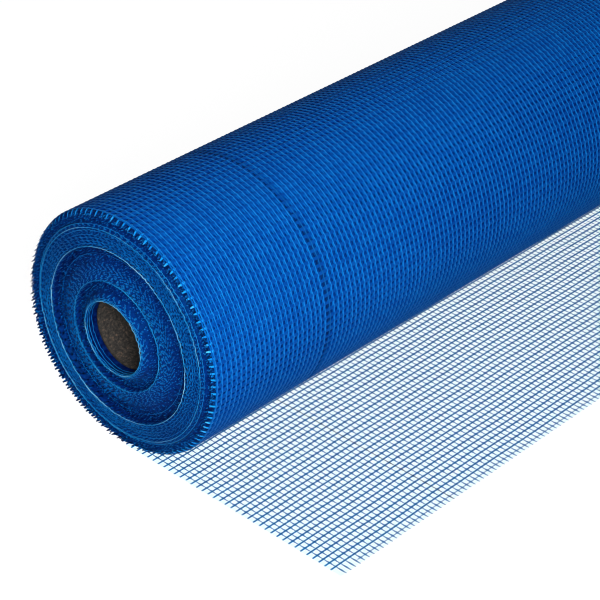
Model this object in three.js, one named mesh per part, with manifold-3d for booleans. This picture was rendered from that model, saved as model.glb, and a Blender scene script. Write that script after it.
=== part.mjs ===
// A roll of open-weave fiberglass mesh on a cardboard core, lying on the floor with its free end
// unrolled. Millimetres, +Z up. The roll's axis runs along X, the free end lies toward -Y, and the
// origin is on the floor straight below the middle of the axis.
import * as THREE from 'three';
import { mergeVertices } from 'three/addons/utils/BufferGeometryUtils.js';
import Module from 'manifold-3d';

// Mesh web
const webWidth = 1000; // across the web, so also the length of each turn along the axis
const meshThickness = 0.5; // one layer of coated mesh
const rollDiameter = 163.4; // outside of the outermost turn
const freeEndLength = 184; // from straight below the axis to the cut edge

// Cardboard core
const coreDiameter = 48.6; // outside
const coreWall = 2.2;
const coreLength = 994; // a little short of the web, so that it ends inside the turns
const coreChamfer = 0.6; // rounding of the cut rims
const coreClearance = 0.3; // all round, between the core and the first turn

// Wound ends: the turns have crept along the axis, the inner ones toward the photographed end at
// -X, and stand in rings. Each station is a share of the wound depth, 0 at the outermost turn and
// 1 at the bore, with how far the turns there have crept. Two stations at one share make a step.
const endStations = [
  { share: 0, creep: 0 }, // outermost turn
  { share: 0.02, creep: 0 },
  { share: 0.02, creep: -1.4 }, // neat turns behind it
  { share: 0.165, creep: -1.4 },
  { share: 0.175, creep: 1.6 }, // broad outer ring
  { share: 0.235, creep: 1.8 },
  { share: 0.25, creep: 1.0 },
  { share: 0.385, creep: 1.6 },
  { share: 0.395, creep: 2.5 }, // sharp middle ring
  { share: 0.405, creep: 2.5 },
  { share: 0.405, creep: -1.6 },
  { share: 0.5, creep: -1.4 },
  { share: 0.64, creep: 0.9 }, // smooth rise
  { share: 0.765, creep: 1.7 },
  { share: 0.775, creep: 2.4 }, // sharp inner ring
  { share: 0.785, creep: 2.4 },
  { share: 0.785, creep: -0.8 },
  { share: 0.87, creep: -0.2 },
  { share: 0.93, creep: 2.4 }, // lip at the bore
  { share: 0.97, creep: 4.6 },
  { share: 1, creep: 5.7 },
];

const roundSegments = 56; // even, so that one flat lies on the floor

const rollRadius = rollDiameter / 2;
const boreRadius = coreDiameter / 2 + coreClearance;
const facetAngle = (2 * Math.PI) / roundSegments;

// Closed outline of the wound turns in the plane of the axis: radius, then distance along the axis.
// A turn that has crept stands out at one end as far as it stands back at the other.
function turnsOutline() {
  const woundDepth = rollRadius - boreRadius;
  const nearEnd = endStations.map(({ share, creep }) => {
    const radius = rollRadius - share * woundDepth;
    return [radius, -webWidth / 2 - creep];
  });
  const farEnd = nearEnd.map(([radius, near]) => [radius, near + webWidth]);
  return [...nearEnd.reverse(), ...farEnd];
}

// Closed outline of the core's wall, with its cut rims chamfered.
function coreOutline() {
  const outer = coreDiameter / 2;
  const inner = outer - coreWall;
  const end = coreLength / 2;
  return [
    [inner + coreChamfer, -end],
    [outer - coreChamfer, -end],
    [outer, -end + coreChamfer],
    [outer, end - coreChamfer],
    [outer - coreChamfer, end],
    [inner + coreChamfer, end],
    [inner, end - coreChamfer],
    [inner, -end + coreChamfer],
  ];
}

// Turned solid about the X axis whose flats, not its corners, lie at the outline's radii.
// One flat faces straight down.
function turned(outline) {
  const toCorner = 1 / Math.cos(facetAngle / 2);
  const points = outline.map(([radius, along]) => new THREE.Vector2(radius * toCorner, along));
  points.push(points[0].clone());
  const geometry = new THREE.LatheGeometry(points, roundSegments, facetAngle / 2);
  geometry.rotateZ(-Math.PI / 2);
  return geometry;
}

// The free end: one layer of mesh, flat on the floor from below the axis to the cut edge.
function freeEnd() {
  const geometry = new THREE.BoxGeometry(webWidth, freeEndLength, meshThickness);
  geometry.translate(0, -freeEndLength / 2, meshThickness / 2);
  return geometry;
}

function prepared(geometry) {
  const bare = geometry.clone();
  bare.deleteAttribute('normal');
  bare.deleteAttribute('uv');
  return mergeVertices(bare);
}

function joined(wasm, first, second) {
  const solids = [first, second].map((geometry) => {
    const merged = prepared(geometry);
    const vertProperties = new Float32Array(merged.attributes.position.array);
    const triVerts = new Uint32Array(merged.index.array);
    return new wasm.Manifold(new wasm.Mesh({ numProp: 3, vertProperties, triVerts }));
  });
  const result = solids[0].add(solids[1]).getMesh();
  const geometry = new THREE.BufferGeometry();
  geometry.setAttribute('position', new THREE.BufferAttribute(result.vertProperties, 3));
  geometry.setIndex(new THREE.BufferAttribute(result.triVerts, 1));
  geometry.computeVertexNormals();
  return geometry;
}

const coatedMesh = new THREE.MeshStandardMaterial({
  color: 0x0d3f8c,
  roughness: 0.55,
  metalness: 0,
});
const cardboard = new THREE.MeshStandardMaterial({
  color: 0xa58a6a,
  roughness: 0.9,
  metalness: 0,
});

const wasm = await Module();
wasm.setup();

const turns = turned(turnsOutline());
turns.translate(0, 0, rollRadius);
const meshRoll = new THREE.Mesh(joined(wasm, turns, freeEnd()), coatedMesh);
meshRoll.name = 'mesh_roll';

const coreTube = new THREE.Mesh(turned(coreOutline()), cardboard);
coreTube.name = 'core_tube';
coreTube.position.z = rollRadius;

const roll = new THREE.Group();
roll.name = 'fiberglass_mesh_roll';
roll.add(meshRoll, coreTube);

export default roll;
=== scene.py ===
import math

import bpy
import numpy as np
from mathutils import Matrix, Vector


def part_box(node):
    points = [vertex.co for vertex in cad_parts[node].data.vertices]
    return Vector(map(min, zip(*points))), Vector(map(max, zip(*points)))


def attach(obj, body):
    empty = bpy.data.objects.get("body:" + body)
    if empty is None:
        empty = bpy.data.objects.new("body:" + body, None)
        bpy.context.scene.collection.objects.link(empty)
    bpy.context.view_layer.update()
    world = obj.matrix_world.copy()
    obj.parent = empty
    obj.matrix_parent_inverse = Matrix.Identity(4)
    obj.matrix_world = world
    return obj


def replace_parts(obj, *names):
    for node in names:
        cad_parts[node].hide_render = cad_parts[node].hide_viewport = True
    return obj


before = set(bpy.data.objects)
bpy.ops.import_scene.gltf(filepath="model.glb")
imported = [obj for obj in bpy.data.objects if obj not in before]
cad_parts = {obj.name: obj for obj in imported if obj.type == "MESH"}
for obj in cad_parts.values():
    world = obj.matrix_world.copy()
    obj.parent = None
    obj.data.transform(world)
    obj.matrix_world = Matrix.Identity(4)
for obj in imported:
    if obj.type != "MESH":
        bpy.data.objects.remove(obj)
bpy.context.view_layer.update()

# Metres. The roll's axis runs along X, its free end lies on the floor toward -Y.
MM = 0.001
TURN = 2 * math.pi

# The web and how it is wound
turns_low, turns_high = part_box("mesh_roll")
core_low, core_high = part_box("core_tube")
ROLL_RADIUS = turns_high.z / 2
AXIS_HEIGHT = ROLL_RADIUS
FREE_END = -turns_low.y
WEB_WIDTH = 1.0
CORE_RADIUS = (core_high.z - core_low.z) / 2
CORE_WALL = 2.2 * MM
CORE_CLEARANCE = 0.3 * MM
BORE_RADIUS = CORE_RADIUS + CORE_CLEARANCE
TURNS = 150

# The weave: straight flat weft yarns across the web, and pairs of warp ends twisted round them.
# The phase is the share of a pitch from the line where the web leaves the floor to the first weft
WARP_PITCH = 4.0 * MM
WEFT_PITCH = 4.87 * MM
WEFT_PHASE = -0.11
STUB = 4.0 * MM
FIRST_WARP = -WEB_WIDTH / 2 + STUB
WARPS = 249
WEFT_WIDTH = 1.2 * MM
PRESSED_WEFT_WIDTH = 2.05 * MM
WEFT_THICKNESS = 0.24 * MM
END_WIDTH = 0.84 * MM
FREE_END_WIDTH = 0.68 * MM
END_THICKNESS = 0.16 * MM
TWIST_REACH = 0.16 * MM
MARKED_WARP = 24
MARKED_WARPS = (MARKED_WARP, WARPS - 1 - MARKED_WARP)
MARK_WIDTH = 1.1 * MM
MARK_ASIDE = 0.9 * MM
WEB_THICKNESS = WEFT_THICKNESS + 2 * END_THICKNESS
MIDDLE_RADIUS = ROLL_RADIUS - WEB_THICKNESS / 2
LAYER = (MIDDLE_RADIUS - BORE_RADIUS) / TURNS
WEFTS_PER_TURN = TURN * MIDDLE_RADIUS / WEFT_PITCH
SHOWN_LAYERS = 4

# The turns below the outermost one have slipped along the web near the top of the roll: how far at
# most, in mm, then the place of it along the web and its reach there
SLIP = 2.1
SLIP_PLACE = 0.285
SLIP_REACH = 0.035

rng = np.random.default_rng(7)


def stations(*pairs):
    """Two arrays from pairs of depth and value: the depths, in mm, are turned into metres, and the
    values stay as they are."""
    table = np.array(pairs, float)
    return table[:, 0] * MM, table[:, 1]


# Wound ends by depth below the outermost turn: how far the stub tips stand toward the near end and
# how long the stubs are, both in mm, how neatly the turns line up in rows (1) or scatter (0), and
# how bright they are painted: painted light on the turns that stand proud, painted shade in the
# recesses behind them
PROUD = stations(
    (0, 0), (0.4, -0.8), (1.2, -1.8), (4, -1.6), (7.4, -1.6), (8.4, -0.6), (8.9, 0.0), (10.4, 0.4),
    (11.0, 1.2), (11.6, 0.6), (13.2, 0.5), (18, 1.2), (21.9, 1.6), (22.9, 2.2), (23.3, -1.8), (27.5, -1.6),
    (31, -0.8), (36.5, 1.0), (43.9, 2.0), (44.8, 2.7), (45.2, -1.0), (49.5, -0.2), (53, 2.6), (55.6, 4.6),
    (57.1, 5.7),
)
STUB_LENGTHS = stations(
    (0, 1.8), (7.4, 1.8), (8.9, 1.0), (13.5, 1.0), (22, 1.2), (23.3, 2.0), (29, 1.6), (35, 1.1),
    (44, 0.9), (45.2, 1.9), (51, 1.5), (54, 1.2), (57.1, 1.0),
)
ORDER = stations(
    (0, 1), (7.9, 1), (8.6, 0.1), (22.7, 0.1), (23.3, 1), (31, 0.9), (36, 0.3), (44.4, 0.2),
    (45.2, 1), (52, 0.8), (55, 0.2), (57.1, 0),
)
# Painted light and shade of the end faces by depth: pale where turns stand proud, dark in recesses
PAINTED_LIGHT_AND_SHADE = stations(
    (0, 0.40), (0.6, 0.36), (5, 0.34), (7.9, 0.26), (8.9, 0.50), (10.2, 0.46), (11.0, 0.54), (12.0, 0.42),
    (18, 0.44), (21.5, 0.46), (22.7, 0.52), (23.3, 0.15), (26.5, 0.18), (31, 0.32), (37, 0.45), (42, 0.54),
    (44.6, 0.60), (45.2, 0.18), (49, 0.30), (52.5, 0.38), (55.5, 0.58), (57.1, 0.64),
)

# Spikes: the stubs of turns whose order is below a limit, with painted shade at the root and
# painted light at the tip
NEAT = 0.6
SPIKE_WIDTH = 1.5 * MM
SPIKE_THICKNESS = 0.36 * MM
SPIKE_SHADES = (0.3, 1.1)

# Zones of neat rows: first and last depth in mm, and how bright their knots are painted, as painted
# light and shade. Then the step from row to row in mm, and the knots' scatter, in places along the
# row and in mm of depth
KNOT_ZONES = ((1.3, 8.0, 0.36), (23.8, 34.0, 0.29), (45.6, 52.5, 0.35))
KNOT_ROW = 0.9
KNOT_SCATTER = 0.28
KNOT_WIDTH = 1.1 * MM
KNOT_HEIGHT = 0.6 * MM
KNOT_LENGTH = 1.8 * MM
KNOT_SWELL = (0.6, 1.0, 0.55)

# Steps from a proud turn down to the turns inside it: depth in mm, and how bright the stubs that
# line them are painted: dark, as painted shade under the proud turn
WALLS = ((23.15, 0.24), (45.05, 0.28))
WALL_LENGTH = 3.6 * MM
WALL_STUB_WIDTH = 1.6 * MM
WALL_STUB_THICKNESS = 0.5 * MM
WALL_SWELL = (1, 1, 0.7)

# Painted highlights along the turns that stand out of their neighbours, where light catches their
# edges: depth and width of the line in mm, and how bright it is painted. Lines in the mouth of the
# bore: how far inside in mm, then the same
CRESTS = (
    (8.8, 0.5, 0.58), (11.0, 0.55, 0.76), (13.0, 0.4, 0.48), (15.6, 0.4, 0.42), (17.4, 0.4, 0.44),
    (19.3, 0.4, 0.44), (21.1, 0.4, 0.50), (22.9, 0.6, 0.84), (28.5, 0.35, 0.40), (44.8, 0.7, 0.64),
    (55.7, 0.35, 0.56), (56.4, 0.4, 0.62), (57.0, 0.6, 0.80),
)
BORE_LINES = ((1.4, 0.45, 0.62), (3.2, 0.45, 0.60), (5.4, 0.4, 0.48))
LINE_THICKNESS = 0.4 * MM
LINE_JAG = 0.2 * MM

# The turns lean: all of them a little and the outermost ones more toward the near end, low on the
# side away from the free end. The angle is from straight below, and each lean fades between two
# depths
LEAN_ANGLE = math.radians(62)
LEAN = 1.0 * MM
LEAN_DEPTHS = (48 * MM, 56 * MM)
EDGE_LEAN = 2.8 * MM
EDGE_LEAN_REACH = math.radians(52)
EDGE_LEAN_DEPTHS = (6.0 * MM, 9.0 * MM)

# Rows of cut stubs at the rim: turns below the outermost one, share of a pitch that the row is set
# off by, how far its tips stand back and droop toward the axis, in mm, and how bright its roots and
# tips are painted: painted light on the outermost row, painted shade on the rows below it
RIM_ROWS = (
    (0, 0.0, 0.0, 3.0, 0.60, 0.86),
    (2, 0.5, 0.3, 0.5, 0.08, 0.34),
    (4, 0.0, 0.4, 0.8, 0.08, 0.34),
    (8, 0.5, 1.2, 0.8, 0.08, 0.60),
)
RIM_STUB_WIDTH = 1.5 * MM
RIM_STUB_THICKNESS = 0.55 * MM
RIM_SWELL = (1.15, 1.15, 1.05, 0.55)
RIM_OVERLAP = 0.7 * MM


def by_depth(table, depth):
    """Value at a depth: straight lines between a table's stations."""
    return np.interp(depth, *table)


def proud(depth, angle):
    """How far the stub tips stand toward the near end: the table by depth, a cosine of the angle
    for the lean of all turns, and a bell curve of the angle for the outermost ones."""
    off = np.mod(angle - LEAN_ANGLE + math.pi, TURN) - math.pi
    lean = LEAN * np.cos(off) * np.interp(depth, LEAN_DEPTHS, (1, 0))
    bell = np.exp(-((off / EDGE_LEAN_REACH) ** 2))
    edge = EDGE_LEAN * bell * np.interp(depth, EDGE_LEAN_DEPTHS, (1, 0))
    return by_depth(PROUD, depth) * MM + lean + edge


def around(x, radius, angle):
    """Point at a distance from the roll's axis, its angle counted from the line straight below."""
    y = radius * np.sin(angle)
    z = AXIS_HEIGHT - radius * np.cos(angle)
    return np.stack(np.broadcast_arrays(x, y, z), axis=-1)


def winding_angle(along):
    """Angle wound at a distance along the web from the line of contact: the root of
    along = R a - l a^2 / 2, where R is the first radius and l the radius lost per radian."""
    loss = LAYER / TURN
    return (MIDDLE_RADIUS - np.sqrt(MIDDLE_RADIUS**2 - 2 * loss * along)) / loss


def web(along, across, out, turns_below=0):
    """Point of the web in space. Along is the distance from the line where the web leaves the
    floor, negative on the floor and positive into the roll. Across is the place on its width, and
    out the height above its middle plane, toward the side that lies outside on the roll. On the
    floor the web is a plane. In the roll its radius falls by one layer a turn, and a turn below
    nests at the same angles as the outermost one."""
    angle = winding_angle(np.maximum(along, 0))
    radius = MIDDLE_RADIUS - LAYER * (angle / TURN + turns_below) + out
    return around(across, radius, angle) + np.minimum(along, 0)[..., None] * np.array([0, 1, 0])


def wander(along, across, layer=0):
    """Slow drift of the yarns, as sums of sines of both places, (along, across). In the turns
    below the outermost one the drift is larger and starts from an offset of its own, and near
    the top of the roll a bell curve of the place along the web slips their wefts into the holes."""
    phase = 2.4 * layer
    offset = 0 if layer == 0 else 1
    drift_along = (
        0.22 * np.sin(across * 41 + along * 9 + phase) + 0.13 * np.sin(across * 97 - along * 23 + 3 * phase)
        + offset * (0.3 * np.cos(math.pi * layer) + 0.35 * np.sin(across * 11 + along * 14 + 2 * phase))
        + offset * SLIP * np.exp(-(((along - SLIP_PLACE) / SLIP_REACH) ** 2))
    )
    drift_across = (
        0.20 * np.sin(along * 37 + across * 7 + phase) + 0.12 * np.sin(along * 83 - across * 19 + 2 * phase)
        + offset * (0.9 * np.cos(math.pi * layer) + 0.25 * np.sin(across * 9 - along * 17 + phase))
    )
    return drift_along * MM, drift_across * MM


def add_mesh(name, points, quads, triangles, material, tone_and_painted_light=None):
    """Mesh object from whole arrays: points (n, 3), quads (m, 4) and triangles (k, 3)."""
    mesh = bpy.data.meshes.new(name)
    corners = np.concatenate([quads.ravel(), triangles.ravel()]).astype(np.int32)
    starts = np.concatenate([
        np.arange(len(quads)) * 4,
        len(quads) * 4 + np.arange(len(triangles)) * 3,
    ]).astype(np.int32)
    mesh.vertices.add(len(points))
    mesh.vertices.foreach_set("co", np.ascontiguousarray(points, np.float32).ravel())
    mesh.loops.add(len(corners))
    mesh.loops.foreach_set("vertex_index", corners)
    mesh.polygons.add(len(starts))
    mesh.polygons.foreach_set("loop_start", starts)
    mesh.polygons.foreach_set("use_smooth", np.ones(len(starts), bool))
    mesh.update(calc_edges=True)
    # The attribute carries painted light and shade with random tone, for the materials' colour ramps
    if tone_and_painted_light is not None:
        attribute = mesh.attributes.new("tone_and_painted_light", "FLOAT", "POINT")
        attribute.data.foreach_set("value", np.ascontiguousarray(tone_and_painted_light, np.float32).ravel())
    mesh.materials.append(material)
    piece = bpy.data.objects.new(name, mesh)
    bpy.context.scene.collection.objects.link(piece)
    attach(piece, "root")
    return piece


def strand_faces(shape, wrap, first_index):
    """Quads and end caps over points in the order (strand, station, section). With wrap the
    section closes on itself, and both ends of each strand get a cap of triangles."""
    count, along, section = shape
    index = first_index + np.arange(count * along * section).reshape(shape)
    if wrap:
        index_next = np.roll(index, -1, axis=2)
        start = index
    else:
        index_next = index[:, :, 1:]
        start = index[:, :, :-1]
    quads = np.stack([
        start[:, :-1], index_next[:, :-1], index_next[:, 1:], start[:, 1:],
    ], axis=-1).reshape(-1, 4)
    if not wrap:
        return quads, np.zeros((0, 3), int)
    fans = []
    for corner in range(1, section - 1):
        fans.append(np.stack([index[:, 0, 0], index[:, 0, corner + 1], index[:, 0, corner]], axis=-1))
        fans.append(np.stack([index[:, -1, 0], index[:, -1, corner], index[:, -1, corner + 1]], axis=-1))
    return quads, np.concatenate(fans)


def add_strands(name, grids, material, wrap=True, tone_and_painted_light=None):
    """One piece from several grids of strands, each an array (strand, station, section, 3)."""
    points, quads, triangles = [], [], []
    total = 0
    for grid in grids:
        more_quads, more_triangles = strand_faces(grid.shape[:3], wrap, total)
        points.append(grid.reshape(-1, 3))
        quads.append(more_quads)
        triangles.append(more_triangles)
        total += len(points[-1])
    if tone_and_painted_light is not None:
        tone_and_painted_light = np.concatenate([np.broadcast_to(p, g.shape[:3]).ravel() for p, g in zip(tone_and_painted_light, grids)])
    points, quads, triangles = map(np.concatenate, (points, quads, triangles))
    return add_mesh(name, points, quads, triangles, material, tone_and_painted_light)


def oval(sides, width, thickness):
    """Section of a flattened yarn: an ellipse of so many corners, as (sideways, out) pairs."""
    angle = np.arange(sides) * TURN / sides + (0 if sides % 2 == 0 else TURN / 4)
    return width / 2 * np.cos(angle), thickness / 2 * np.sin(angle)


def roof(width, thickness):
    """Open section of a yarn that shows only its outer side: up one flank and down the other."""
    return np.array([-0.5, 0.0, 0.5]) * width, np.array([-0.5, 0.5, -0.5]) * thickness


def strip(width):
    """Open section of a yarn deep in the mesh: a flat band."""
    return np.array([-0.5, 0.5]) * width, np.zeros(2)


def crowned(width, thickness):
    """Open section of a flat weft: flank, shoulder, shoulder, flank."""
    return np.array([-0.5, -0.32, 0.32, 0.5]) * width, np.array([-0.3, 0.5, 0.5, -0.3]) * thickness


def weft_grid(numbers, ends, along_count, section, layer=0, thinness=1.0):
    """Weft yarns, each a section carried straight across the web at its own distance along it."""
    sideways, out = section
    left, right = ends
    along = ((numbers + WEFT_PHASE) * WEFT_PITCH)[:, None, None]
    share = np.linspace(0, 1, along_count)[None, :, None]
    across = left[:, None, None] * (1 - share) + right[:, None, None] * share
    drift = wander(along, across, layer)[0]
    return web(along + drift + sideways * thinness, across, out + 0 * across, layer)


def warp_grid(warps, counts, over, section, layer=0, aside=0.0):
    """Warp ends, each a section carried along the web, with stations at counts of wefts. The end
    that goes over the wefts swings from side to side as a cosine of the weft count, its partner
    swings the other way under them, and between two wefts they cross. Aside moves them across."""
    sideways, out = section
    count = counts[None, :, None]
    along = (count + WEFT_PHASE) * WEFT_PITCH
    across = FIRST_WARP + warps[:, None, None] * WARP_PITCH + aside
    side = 1 if over else -1
    swing = side * TWIST_REACH * np.cos(np.pi * count)
    ride = WEFT_THICKNESS / 2 + END_THICKNESS / 2
    crossing = (1 + np.cos(TURN * count)) / 2
    height = side * (ride * crossing - 0.3 * END_THICKNESS * (1 - crossing))
    drift = wander(along, across, layer)[1]
    return web(along + 0 * sideways, across + drift + swing + sideways, height + out, layer)


def new_material(name):
    """A material made of nodes: the material, its nodes and its links."""
    material = bpy.data.materials.new(name)
    material.use_nodes = True
    return material, material.node_tree.nodes, material.node_tree.links


def shade_steps(ramp, steps):
    """Sets a colour ramp to pairs of position and colour."""
    elements = ramp.color_ramp.elements
    while len(elements) < len(steps):
        elements.new(0.5)
    for element, (position, colour) in zip(elements, steps):
        element.position = position
        element.color = (*colour, 1)


# Scales of the noise in the yarns' shade, and how far it shifts the shade of yarns with painted light and
# shade
YARN_BLOTCH = 160
STUB_BLOTCH = 420
TONE_SHIFT = 0.08
FILAMENT_SCALE = 3500


def yarn_material(name, steps, roughness, specular, tint, by_painted_light=False):
    """Coated glass yarn. Its shade follows a slow noise, or an attribute of painted light and shade with
    that noise added, through a few colour steps. A fine bump stands for the filaments."""
    material, nodes, links = new_material(name)
    shader = nodes["Principled BSDF"]
    shader.inputs["Roughness"].default_value = roughness
    shader.inputs["Specular IOR Level"].default_value = specular
    shader.inputs["Specular Tint"].default_value = (*tint, 1)
    place = nodes.new("ShaderNodeTexCoord")
    slow = nodes.new("ShaderNodeTexNoise")
    slow.inputs["Scale"].default_value = STUB_BLOTCH if by_painted_light else YARN_BLOTCH
    slow.inputs["Detail"].default_value = 4
    ramp = nodes.new("ShaderNodeValToRGB")
    shade_steps(ramp, steps)
    fine = nodes.new("ShaderNodeTexNoise")
    fine.inputs["Scale"].default_value = FILAMENT_SCALE
    bump = nodes.new("ShaderNodeBump")
    bump.inputs["Strength"].default_value = 0.25
    bump.inputs["Distance"].default_value = 0.05 * MM
    links.new(place.outputs["Object"], slow.inputs["Vector"])
    links.new(place.outputs["Object"], fine.inputs["Vector"])
    if by_painted_light:
        attribute = nodes.new("ShaderNodeAttribute")
        attribute.attribute_name = "tone_and_painted_light"
        spread = nodes.new("ShaderNodeMapRange")
        spread.inputs["From Min"].default_value = 0.3
        spread.inputs["From Max"].default_value = 0.7
        spread.inputs["To Min"].default_value = -TONE_SHIFT
        spread.inputs["To Max"].default_value = TONE_SHIFT
        total = nodes.new("ShaderNodeMath")
        links.new(slow.outputs["Fac"], spread.inputs["Value"])
        links.new(attribute.outputs["Fac"], total.inputs[0])
        links.new(spread.outputs["Result"], total.inputs[1])
        links.new(total.outputs["Value"], ramp.inputs["Fac"])
    else:
        links.new(slow.outputs["Fac"], ramp.inputs["Fac"])
    links.new(ramp.outputs["Color"], shader.inputs["Base Color"])
    links.new(fine.outputs["Fac"], bump.inputs["Height"])
    links.new(bump.outputs["Normal"], shader.inputs["Normal"])
    return material


SHEEN_TINT = (0.02, 0.45, 1.0)
coated_yarn = yarn_material(
    "coated_yarn", [(0.3, (0.002, 0.104, 0.42)), (0.7, (0.004, 0.156, 0.50))], 0.38, 0.2, SHEEN_TINT)
# Painted shade: a darker copy of the coated yarn for the second turn's warps
shaded_second_yarn = yarn_material(
    "shaded_second_yarn", [(0.3, (0.001, 0.070, 0.32)), (0.7, (0.002, 0.10, 0.39))], 0.5, 0.05, SHEEN_TINT)
weft_yarn = yarn_material(
    "weft_yarn", [(0.3, (0.001, 0.040, 0.23)), (0.7, (0.002, 0.062, 0.29))], 0.5, 0.05, SHEEN_TINT)
free_yarn = yarn_material(
    "free_yarn", [(0.3, (0.001, 0.095, 0.31)), (0.7, (0.002, 0.148, 0.40))], 0.5, 0.1, SHEEN_TINT)
# Painted shade: darker copies of the yarn for the turns below the outermost one, darker still deeper down
shaded_yarn = yarn_material(
    "shaded_yarn", [(0.3, (0.001, 0.042, 0.24)), (0.7, (0.002, 0.062, 0.30))], 0.5, 0.02, SHEEN_TINT)
deep_shaded_yarn = yarn_material(
    "deep_shaded_yarn", [(0.3, (0.001, 0.024, 0.18)), (0.7, (0.001, 0.040, 0.24))], 0.5, 0.02, SHEEN_TINT)
marking_yarn = yarn_material(
    "marking_yarn", [(0.3, (0.001, 0.012, 0.06)), (0.7, (0.002, 0.026, 0.12))], 0.5, 0.02, SHEEN_TINT)
worn_marking_yarn = yarn_material(
    "worn_marking_yarn", [(0.3, (0.002, 0.06, 0.23)), (0.7, (0.004, 0.10, 0.33))], 0.5, 0.05, SHEEN_TINT)
# Painted light and shade: the ramp runs from near black in the recesses to pale on proud edges and tips
wound_yarn = yarn_material(
    "wound_yarn",
    [(0.0, (0.0005, 0.002, 0.03)), (0.25, (0.001, 0.024, 0.16)), (0.5, (0.002, 0.11, 0.37)),
     (0.75, (0.012, 0.21, 0.47)), (1.0, (0.20, 0.42, 0.58))],
    0.5, 0.1, SHEEN_TINT, by_painted_light=True)
# Painted light and shade for the rim stubs: dark below, and a pale top that is a painted highlight
rim_yarn = yarn_material(
    "rim_yarn",
    [(0.0, (0.0005, 0.002, 0.02)), (0.3, (0.001, 0.018, 0.12)), (0.6, (0.003, 0.13, 0.46)),
     (0.85, (0.008, 0.27, 0.72)), (1.0, (0.06, 0.42, 0.80))],
    0.45, 0.15, SHEEN_TINT, by_painted_light=True)


def cardboard_material():
    """Grey-brown spiral-wound board: blotches and fibres from noise."""
    material, nodes, links = new_material("cardboard")
    shader = nodes["Principled BSDF"]
    shader.inputs["Roughness"].default_value = 0.9
    shader.inputs["Specular IOR Level"].default_value = 0.2
    place = nodes.new("ShaderNodeTexCoord")
    blotch = nodes.new("ShaderNodeTexNoise")
    blotch.inputs["Scale"].default_value = 500
    blotch.inputs["Detail"].default_value = 8
    blotch.inputs["Roughness"].default_value = 0.75
    ramp = nodes.new("ShaderNodeValToRGB")
    shade_steps(ramp, [(0.34, (0.005, 0.005, 0.005)), (0.5, (0.020, 0.018, 0.016)),
                       (0.58, (0.034, 0.028, 0.023)), (0.68, (0.13, 0.075, 0.045))])
    bump = nodes.new("ShaderNodeBump")
    bump.inputs["Strength"].default_value = 0.4
    bump.inputs["Distance"].default_value = 0.2 * MM
    links.new(place.outputs["Object"], blotch.inputs["Vector"])
    links.new(blotch.outputs["Fac"], ramp.inputs["Fac"])
    links.new(ramp.outputs["Color"], shader.inputs["Base Color"])
    links.new(blotch.outputs["Fac"], bump.inputs["Height"])
    links.new(bump.outputs["Normal"], shader.inputs["Normal"])
    return material


cardboard = cardboard_material()

# Free end on the floor, in two halves that meet at the middle of the web. Its warps are cut off a
# share of a pitch beyond the last weft, which is thinner and starts a few warps in.
LAST_WEFT = -int(FREE_END / WEFT_PITCH)
CUT_STUB = 0.75
LAST_WEFT_STARTS = FIRST_WARP + 3.4 * WARP_PITCH
LAST_WEFT_THIN = 0.55
WEFT_STATIONS = 32
FREE_END_UNEVEN = 0.35 * MM


def uneven(count, spread):
    """Small shortenings of so many stubs."""
    return np.abs(rng.normal(0, spread, count))


def free_end_half(name, left_half):
    """Half the width of the free end: whole wefts up to the middle, and its share of the warps."""
    numbers = np.arange(LAST_WEFT, 1)
    edge = -WEB_WIDTH / 2 + uneven(len(numbers), FREE_END_UNEVEN)
    middle = np.zeros(len(numbers))
    if left_half:
        edge[0] = LAST_WEFT_STARTS
        left, right = edge, middle
        warps = np.arange(0, WARPS // 2 + 1)
    else:
        left, right = middle, -edge
        warps = np.arange(WARPS // 2 + 1, WARPS)
    flat = oval(6, WEFT_WIDTH, WEFT_THICKNESS)
    last = weft_grid(numbers[:1], (left[:1], right[:1]), WEFT_STATIONS, flat, thinness=LAST_WEFT_THIN)
    wefts = weft_grid(numbers[1:], (left[1:], right[1:]), WEFT_STATIONS, flat)
    section = oval(3, FREE_END_WIDTH, END_THICKNESS)
    half_steps = np.append(LAST_WEFT - CUT_STUB, np.arange(LAST_WEFT - 0.5, 1.25, 0.5))
    whole_steps = np.append(LAST_WEFT - CUT_STUB, np.arange(LAST_WEFT, 1.5, 1.0))
    marked = np.isin(warps, MARKED_WARPS)
    lower = warp_grid(warps[~marked], whole_steps, True, section)
    upper = warp_grid(warps[~marked], half_steps, False, section)
    piece = add_strands(name, [wefts, last, lower, upper], free_yarn)
    marks = [warp_grid(warps[marked], half_steps, side, section) for side in (True, False)]
    mark = add_strands(name + "_marking_yarn", marks, marking_yarn)


free_end_half("free_end_left", True)
free_end_half("free_end_right", False)

# Outer turns of the roll
ALL_WARPS = np.arange(WARPS)
BLUE_WARPS = ALL_WARPS[~np.isin(ALL_WARPS, MARKED_WARPS)]
LEFT_WARPS = BLUE_WARPS[:len(BLUE_WARPS) // 2]
RIGHT_WARPS = BLUE_WARPS[len(BLUE_WARPS) // 2:]
ONE_TURN = np.arange(0, math.ceil(WEFTS_PER_TURN) + 1.5, 1.0)
ONE_TURN_HALVES = np.arange(0, math.ceil(WEFTS_PER_TURN) + 1.25, 0.5)


def turn_of_wefts(name, layer, along_count, material):
    """All wefts of one turn, between its first and last warp. Their cut stubs are made below."""
    numbers = np.arange(0, math.ceil(WEFTS_PER_TURN) + 1)
    reach = np.full(len(numbers), WEB_WIDTH / 2 - STUB)
    section = crowned(PRESSED_WEFT_WIDTH, WEFT_THICKNESS)
    grid = weft_grid(numbers, (-reach, reach), along_count, section, layer)
    add_strands(name, [grid], material, wrap=False)


turn_of_wefts("outermost_wefts", 0, 40, weft_yarn)
turn_of_wefts("second_turn_wefts", 1, 24, shaded_yarn)
turn_of_wefts("third_turn_wefts", 2, 16, deep_shaded_yarn)
turn_of_wefts("fourth_turn_wefts", 3, 12, deep_shaded_yarn)

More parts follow.
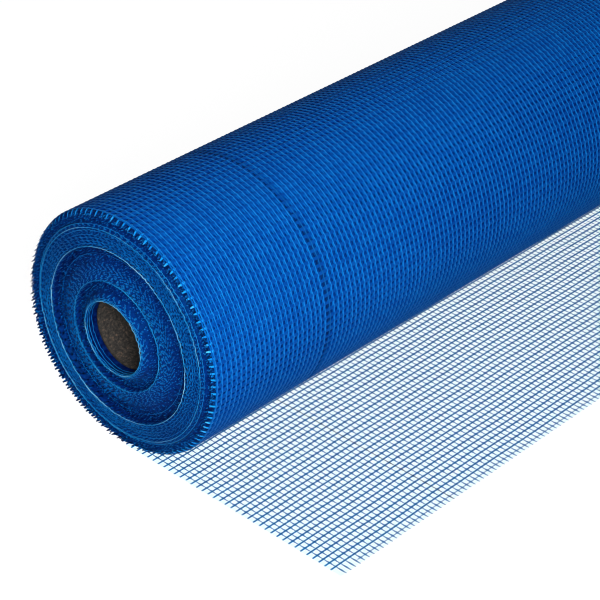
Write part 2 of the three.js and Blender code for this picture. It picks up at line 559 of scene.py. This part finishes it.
OUTER_END_CROWN = 1.5 * END_THICKNESS
SECOND_TURN_END_WIDTH = 1.05 * MM
THIRD_TURN_END_WIDTH = 0.85 * MM

outer_end = roof(END_WIDTH, OUTER_END_CROWN)
for name, warps in (("outer_warps_near", LEFT_WARPS), ("outer_warps_far", RIGHT_WARPS)):
    ends_over = warp_grid(warps, ONE_TURN_HALVES, True, outer_end)
    add_strands(name, [ends_over], coated_yarn, wrap=False)
ends_under = warp_grid(BLUE_WARPS, ONE_TURN, False, strip(END_WIDTH))
add_strands("outer_warps_under", [ends_under], coated_yarn, wrap=False)
for name, layer, width, material in (
    ("second_turn_warps", 1, SECOND_TURN_END_WIDTH, shaded_second_yarn),
    ("third_turn_warps", 2, THIRD_TURN_END_WIDTH, deep_shaded_yarn),
):
    ends_below = warp_grid(BLUE_WARPS, ONE_TURN, True, strip(width), layer)
    add_strands(name, [ends_below], material, wrap=False)

# The marking yarn, and its dark marks in the holes beside it, one turn down
marked_warps = np.array(MARKED_WARPS)
marked_ends = warp_grid(marked_warps, ONE_TURN_HALVES, True, outer_end)
add_strands("marking_yarn", [marked_ends], worn_marking_yarn, wrap=False)
mark_section = roof(MARK_WIDTH, END_THICKNESS)
dark_marks = warp_grid(marked_warps, ONE_TURN, True, mark_section, 1, -MARK_ASIDE)
add_strands("marking_yarn_below", [dark_marks], marking_yarn, wrap=False)

# Solid mass of the turns below, with its bore: its rows from the bore to the side, its places round
# the axis, how deep its faces lie as a share of the stubs' length, and how dark they are painted:
# painted shade between the stubs, on the side seen through the holes and in the bore
MASS_RADIUS = MIDDLE_RADIUS - SHOWN_LAYERS * LAYER
MASS_ROWS = 100
ROUND = 160
ROOT_SHARE = 0.9
FACE_PAINTED_SHADE = 0.35
SIDE_PAINTED_SHADE = 0.2
DARKEST_PAINTED_SHADE = 0.06


def lathe(name, outline, material, tone_and_painted_light=None):
    """Closed outline turned round the roll's axis: the place along it, which may differ from angle
    to angle, and the radius."""
    along, radius = outline
    angle = np.arange(ROUND) * TURN / ROUND
    points = around(along + 0 * angle, radius, angle).reshape(-1, 3)
    index = np.arange(len(points)).reshape(len(radius), ROUND)
    across = np.roll(index, -1, axis=1)
    quads = np.stack([index, across, np.roll(across, -1, axis=0), np.roll(index, -1, axis=0)], axis=-1)
    if tone_and_painted_light is not None:
        tone_and_painted_light = np.repeat(tone_and_painted_light, ROUND)
    return add_mesh(name, points, quads.reshape(-1, 4), np.zeros((0, 3), int), material, tone_and_painted_light)


def wound_turns():
    """Wound mass: both end faces lie at the roots of the stubs, and follow how the turns slid."""
    radius = np.linspace(BORE_RADIUS, MASS_RADIUS, MASS_ROWS)[:, None]
    depth = ROLL_RADIUS - radius
    inset = by_depth(STUB_LENGTHS, depth) * MM * ROOT_SHARE
    forward = proud(depth, np.arange(ROUND) * TURN / ROUND)
    near = -WEB_WIDTH / 2 - forward + inset
    far = (WEB_WIDTH / 2 - forward - inset)[::-1]
    # Painted shade: the faces darker than the stubs, the side seen through the holes dark, the bore darkest
    shade = np.maximum(by_depth(PAINTED_LIGHT_AND_SHADE, depth) * FACE_PAINTED_SHADE, DARKEST_PAINTED_SHADE)[:, 0]
    shade[-1] = SIDE_PAINTED_SHADE
    step = 1.0 * MM
    along = np.concatenate([near[:1] + step, near, far, far[-1:] - step])
    outline = along, np.concatenate([radius[:1], radius, radius[::-1], radius[:1]])
    bore_shade = [DARKEST_PAINTED_SHADE]
    piece = lathe("wound_turns", outline, wound_yarn,
                  np.concatenate([bore_shade, shade, shade[::-1], bore_shade]))
    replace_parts(piece, "mesh_roll")


wound_turns()


def facing(side, values):
    """Values from root to tip, in the opposite order on the far end, so that the strands' faces
    point outwards there too."""
    return values[:, ::-1] if side > 0 else values


def round_each(counts, offset, scatter):
    """Angles of strands evenly spaced round several turns or rows, as many as each one's count, set
    off by an offset and scattered, both in places."""
    first = np.repeat(np.cumsum(counts) - counts, counts)
    place = np.arange(counts.sum()) - first + offset + rng.normal(0, scatter, counts.sum())
    return place / np.repeat(counts, counts) * TURN


def end_strands(side, angle, depth, tip, length, lean, section, swell, droop=0.0):
    """Strands along the axis at angles and depths, from tip back by length: a section carried
    through stations that swell and taper it, its tip leaning aside and drooping toward the axis
    as the square of the way along it."""
    sideways, out = section
    share = np.linspace(1, 0, len(swell))[None, :, None]
    swell = np.array(swell)[None, :, None]
    x = side * (tip[:, None, None] - length[:, None, None] * share)
    aside = lean[:, None, None] * (1 - share)
    radius = (MIDDLE_RADIUS - depth)[:, None, None] - droop * (1 - share) ** 2
    turned = angle[:, None, None] + (sideways * swell + aside) / radius
    return facing(side, around(x + 0 * out, radius + out * swell, turned))


def cut_stubs(name, far_end):
    """Cut weft stubs of every turn below the shown ones where the turns don't line up: small
    three-sided spikes along the axis, evenly spaced round each turn, which starts anywhere."""
    turns = np.arange(SHOWN_LAYERS, TURNS)
    turns = turns[by_depth(ORDER, LAYER * turns) < NEAT]
    counts = np.rint(TURN * (MIDDLE_RADIUS - LAYER * turns) / WEFT_PITCH).astype(int)
    phase = rng.uniform(-0.5, 0.5, len(turns))
    turn, phase = (np.repeat(values, counts) for values in (turns, phase))
    angle = round_each(counts, phase, 0.07)
    depth = LAYER * (turn + np.mod(angle, TURN) / TURN)
    side = 1 if far_end else -1
    length = by_depth(STUB_LENGTHS, depth) * MM
    tip = WEB_WIDTH / 2 - side * proud(depth, angle) - uneven(len(angle), 0.15 * MM)
    lean = rng.normal(0, 0.25 * MM, len(angle))
    section = oval(3, SPIKE_WIDTH, SPIKE_THICKNESS)
    grid = end_strands(side, angle, depth, tip, length, lean, section, (1, 1))
    shade = by_depth(PAINTED_LIGHT_AND_SHADE, depth)
    tone = rng.normal(0, 0.035, len(angle))
    root_shade, tip_shade = SPIKE_SHADES
    # Painted shade at each spike's root and painted light at its tip, with random tone
    shades = np.stack([shade * root_shade, shade * tip_shade + tone], axis=1)[:, :, None]
    add_strands(name, [grid], wound_yarn, tone_and_painted_light=[facing(side, shades)])


def knots(name, far_end):
    """Knots where packs of turns lie neatly: the stubs of a pack cling together, so each zone
    shows rows of small rounded knots, two to a weft, set off by half a place from row to row.
    Longer stubs in step line the walls between a proud turn and such a zone. Both are painted
    dark at the root and pale at the tip, as painted shade and light."""
    side = 1 if far_end else -1
    grids, fades = [], []
    for start, end, tone in KNOT_ZONES:
        depths = np.arange(start, end, KNOT_ROW) * MM
        counts = np.rint(2 * TURN * (MIDDLE_RADIUS - depths) / WEFT_PITCH).astype(int)
        row = np.repeat(np.arange(len(depths)), counts)
        angle = round_each(counts, 0.5 * row, KNOT_SCATTER)
        depth = np.repeat(depths, counts) + rng.normal(0, KNOT_SCATTER * MM, len(row))
        tip = WEB_WIDTH / 2 - side * proud(depth, angle) - uneven(len(row), 0.35 * MM)
        length = np.full(len(row), KNOT_LENGTH)
        lean = rng.normal(0, 0.2 * MM, len(row))
        section = oval(3, KNOT_WIDTH, KNOT_HEIGHT)
        grids.append(end_strands(side, angle, depth, tip, length, lean, section, KNOT_SWELL))
        shade = tone + rng.normal(0, 0.11, len(row))
        # Painted shade at each knot's root and painted light at its tip, with random tone
        fade = np.stack([shade * 0.3, shade * 0.75, shade * 1.15], axis=1)[:, :, None]
        fades.append(facing(side, fade))
    for depth_mm, tone in WALLS:
        radius = MIDDLE_RADIUS - depth_mm * MM
        count = round(TURN * radius / WEFT_PITCH)
        angle = (np.arange(count) + rng.normal(0, 0.08, count)) / count * TURN
        depth = np.full(count, depth_mm * MM)
        tip = WEB_WIDTH / 2 - side * proud(depth - 0.25 * MM, angle) - uneven(count, 0.3 * MM)
        length = np.full(count, WALL_LENGTH)
        section = oval(3, WALL_STUB_WIDTH, WALL_STUB_THICKNESS)
        grids.append(end_strands(side, angle, depth, tip, length, 0 * angle, section, WALL_SWELL))
        # Painted shade on the wall stubs, lighter toward their tips
        fade = np.broadcast_to(np.array([0.3, 1.0, 1.5])[:, None] * tone, (count, 3, 1))
        fades.append(facing(side, fade))
    add_strands(name, grids, wound_yarn, tone_and_painted_light=fades)


cut_stubs("near_end_stubs", False)
cut_stubs("far_end_stubs", True)
knots("near_end_knots", False)
knots("far_end_knots", True)


def pale_line(far_end, depth, inside, width, tone_and_painted_light):
    """Thin strand round the roll at a depth, so far inside the turn's edge, its place along the axis
    jagged from weft to weft. Gives its grid and how bright it is painted, which a product of two
    sines of the angle varies."""
    radius = ROLL_RADIUS - depth
    count = int(3 * TURN * radius / WEFT_PITCH)
    angle = (np.arange(count + 1) / count * TURN)[None, :, None]
    jag = np.append(rng.normal(0, LINE_JAG, count), 0)[None, :, None]
    sideways, out = oval(4, width, LINE_THICKNESS)
    x = (WEB_WIDTH / 2 if far_end else -WEB_WIDTH / 2) - proud(depth, angle) + inside
    fade = np.clip(tone_and_painted_light + 0.12 * np.sin(angle * 7 + 300 * radius) * np.sin(angle * 3), 0, 1)
    return around(x + jag + sideways, radius + out, angle), fade


def crest_lines(name, far_end):
    """Painted highlights along the edges of the turns that stand out of their neighbours, and on the
    near end pale lines of the innermost turn's yarns just inside the mouth."""
    lines = [
        pale_line(far_end, depth_mm * MM, 0, width_mm * MM, tone_and_painted_light)
        for depth_mm, width_mm, tone_and_painted_light in CRESTS
    ]
    if not far_end:
        bore = ROLL_RADIUS - BORE_RADIUS + 0.1 * MM
        lines += [
            pale_line(far_end, bore, inside_mm * MM, width_mm * MM, tone_and_painted_light)
            for inside_mm, width_mm, tone_and_painted_light in BORE_LINES
        ]
    grids, fades = zip(*lines)
    add_strands(name, grids, wound_yarn, tone_and_painted_light=fades)


crest_lines("near_end_crests", False)
crest_lines("far_end_crests", True)


def rim_stubs(name, far_end):
    """Cut stubs at the rim, in rows one under another: sleeves from the last warp to the tip, as
    wide as the weft at the root and frayed to a thin tip, with painted light on the outer side and
    painted shade on the side toward the axis."""
    side = 1 if far_end else -1
    section = oval(6, RIM_STUB_WIDTH, RIM_STUB_THICKNESS)
    out = section[1]
    # Painted shade: the side of each sleeve toward the axis is darker than its outer side
    painted_side_shade = np.where(out > 0, 1.0, np.where(out < 0, 0.1, 0.35))
    grids, fades = [], []
    for turns_below, phase, set_back_mm, droop_mm, root_painted_light, tip_painted_light in RIM_ROWS:
        numbers = np.arange(math.ceil(WEFTS_PER_TURN)) + phase
        angle = winding_angle((numbers + WEFT_PHASE) * WEFT_PITCH)
        depth = LAYER * (angle / TURN + turns_below)
        further = proud(0 * MM, angle)
        shortfall = set_back_mm * MM + uneven(len(angle), 0.4 * MM)
        tip = WEB_WIDTH / 2 - side * further - shortfall
        length = STUB + RIM_OVERLAP - side * further - shortfall
        lean = rng.normal(0, 0.3 * MM, len(angle))
        droop = droop_mm * MM
        grids.append(end_strands(side, angle, depth, tip, length, lean, section, RIM_SWELL, droop))
        along_stub = np.linspace(root_painted_light, tip_painted_light, len(RIM_SWELL))[None, :, None]
        tone = along_stub + rng.normal(0, 0.06, len(angle))[:, None, None]
        fades.append(facing(side, tone * painted_side_shade))
    add_strands(name, grids, rim_yarn, tone_and_painted_light=fades)


rim_stubs("near_rim_stubs", False)
rim_stubs("far_rim_stubs", True)


def core():
    """Cardboard tube: a rectangle with rounded corners turned round the axis."""
    inner = CORE_RADIUS - CORE_WALL
    near, far = core_low.x, core_high.x
    soft = 0.5 * MM
    along, radius = np.array([
        [near, inner + soft], [near, CORE_RADIUS - soft], [near + soft, CORE_RADIUS],
        [far - soft, CORE_RADIUS], [far, CORE_RADIUS - soft], [far, inner + soft],
        [far - soft, inner], [near + soft, inner],
    ]).T
    outline = along[:, None], radius[:, None]
    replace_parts(lathe("cardboard_core", outline, cardboard), "core_tube")


core()

# Camera, floor and light
CAMERA_PLACE = Vector((-1.1946, -0.8178, 0.7904))
CAMERA_AZIMUTH = math.radians(-46.186)
CAMERA_ELEVATION = math.radians(32.625)
LENS_MM = 127.2
SENSOR_MM = 36

camera_data = bpy.data.cameras.new("camera")
camera_data.lens = LENS_MM
camera_data.sensor_width = SENSOR_MM
camera = bpy.data.objects.new("camera", camera_data)
bpy.context.scene.collection.objects.link(camera)
camera.location = CAMERA_PLACE
back = Vector((
    math.sin(CAMERA_AZIMUTH) * math.cos(CAMERA_ELEVATION),
    -math.cos(CAMERA_AZIMUTH) * math.cos(CAMERA_ELEVATION),
    math.sin(CAMERA_ELEVATION),
))
camera.rotation_mode = "QUATERNION"
camera.rotation_quaternion = (-back).to_track_quat("-Z", "Y")
bpy.context.scene.camera = camera

FLOOR_REACH = 6
FLOOR_GLOW = 0.93
CAST_TINT = (0.75, 0.92, 0.972)
BOUNCE_GREY = (0.35, 0.38, 0.4, 1)
DOME = 0.21


def choose_for_camera(nodes, links, for_light, for_camera, output):
    """Mixes two shaders by who looks: one for bounced light and one for the camera."""
    path = nodes.new("ShaderNodeLightPath")
    choice = nodes.new("ShaderNodeMixShader")
    links.new(path.outputs["Is Camera Ray"], choice.inputs["Fac"])
    links.new(for_light, choice.inputs[1])
    links.new(for_camera, choice.inputs[2])
    links.new(choice.outputs["Shader"], nodes[output].inputs["Surface"])


def floor_material():
    """Pale studio floor, nearly white to the camera and a grey for bounced light. It is tinted in
    the rectangle where the free end lies, as by the blue light that falls through its mesh: the
    mapping brings that rectangle to a square of one unit round the origin, and a place is inside
    where both its coordinates are within half a unit of zero."""
    material, nodes, links = new_material("floor")
    shader = nodes["Principled BSDF"]
    shader.inputs["Base Color"].default_value = (0.15, 0.15, 0.15, 1)
    shader.inputs["Roughness"].default_value = 0.9
    shader.inputs["Specular IOR Level"].default_value = 0.0
    shader.inputs["Emission Strength"].default_value = FLOOR_GLOW
    place = nodes.new("ShaderNodeTexCoord")
    cast_box = nodes.new("ShaderNodeMapping")
    cast_box.inputs["Location"].default_value = (0, 0.5, 0)
    cast_box.inputs["Scale"].default_value = (1 / WEB_WIDTH, 1 / FREE_END, 1)
    apart = nodes.new("ShaderNodeSeparateXYZ")
    inside_both = nodes.new("ShaderNodeMath")
    inside_both.operation = "MULTIPLY"
    for number, axis in enumerate(("X", "Y")):
        inside = nodes.new("ShaderNodeMath")
        inside.operation = "COMPARE"
        inside.inputs[1].default_value = 0
        inside.inputs[2].default_value = 0.5
        links.new(apart.outputs[axis], inside.inputs[0])
        links.new(inside.outputs["Value"], inside_both.inputs[number])
    tint = nodes.new("ShaderNodeValToRGB")
    shade_steps(tint, [(0, (1, 1, 1)), (1, CAST_TINT)])
    links.new(place.outputs["Object"], cast_box.inputs["Vector"])
    links.new(cast_box.outputs["Vector"], apart.inputs["Vector"])
    links.new(inside_both.outputs["Value"], tint.inputs["Fac"])
    links.new(tint.outputs["Color"], shader.inputs["Emission Color"])
    bounce = nodes.new("ShaderNodeBsdfDiffuse")
    bounce.inputs["Color"].default_value = BOUNCE_GREY
    choose_for_camera(nodes, links, bounce.outputs["BSDF"], shader.outputs["BSDF"], "Material Output")
    return material


floor_corners = [
    (-FLOOR_REACH, -FLOOR_REACH, 0), (FLOOR_REACH, -FLOOR_REACH, 0),
    (FLOOR_REACH, FLOOR_REACH, 0), (-FLOOR_REACH, FLOOR_REACH, 0),
]
floor_mesh = bpy.data.meshes.new("floor")
floor_mesh.from_pydata(floor_corners, [], [(0, 1, 2, 3)])
floor_mesh.materials.append(floor_material())
floor = bpy.data.objects.new("floor", floor_mesh)
bpy.context.scene.collection.objects.link(floor)


def studio_world():
    """World that is white to the camera and lights the object as a weak dome."""
    world = bpy.data.worlds.new("studio")
    bpy.context.scene.world = world
    world.use_nodes = True
    nodes, links = world.node_tree.nodes, world.node_tree.links
    backdrop = nodes["Background"]
    backdrop.inputs["Color"].default_value = (1, 1, 1, 1)
    backdrop.inputs["Strength"].default_value = 1.0
    dome = nodes.new("ShaderNodeBackground")
    dome.inputs["Color"].default_value = (1, 1, 1, 1)
    dome.inputs["Strength"].default_value = DOME
    white, weak = backdrop.outputs["Background"], dome.outputs["Background"]
    choose_for_camera(nodes, links, weak, white, "World Output")


studio_world()


def soft_light(name, place, target, size, power, spread):
    """Round area light at a place, turned toward its target and hidden from the camera. Its spread
    is in degrees."""
    light = bpy.data.lights.new(name, "AREA")
    light.shape = "DISK"
    light.size = size
    light.energy = power
    light.spread = math.radians(spread)
    lamp = bpy.data.objects.new(name, light)
    lamp.location = place
    lamp.rotation_mode = "QUATERNION"
    lamp.rotation_quaternion = (Vector(target) - Vector(place)).to_track_quat("-Z", "Y")
    lamp.visible_camera = False
    bpy.context.scene.collection.objects.link(lamp)


soft_light("key", (-1.3, -1.15, 0.85), (-0.52, 0, 0.08), 0.7, 12.6, 95)

bpy.context.scene.view_settings.view_transform = "Standard"
bpy.context.scene.cycles.filter_width = 1.0
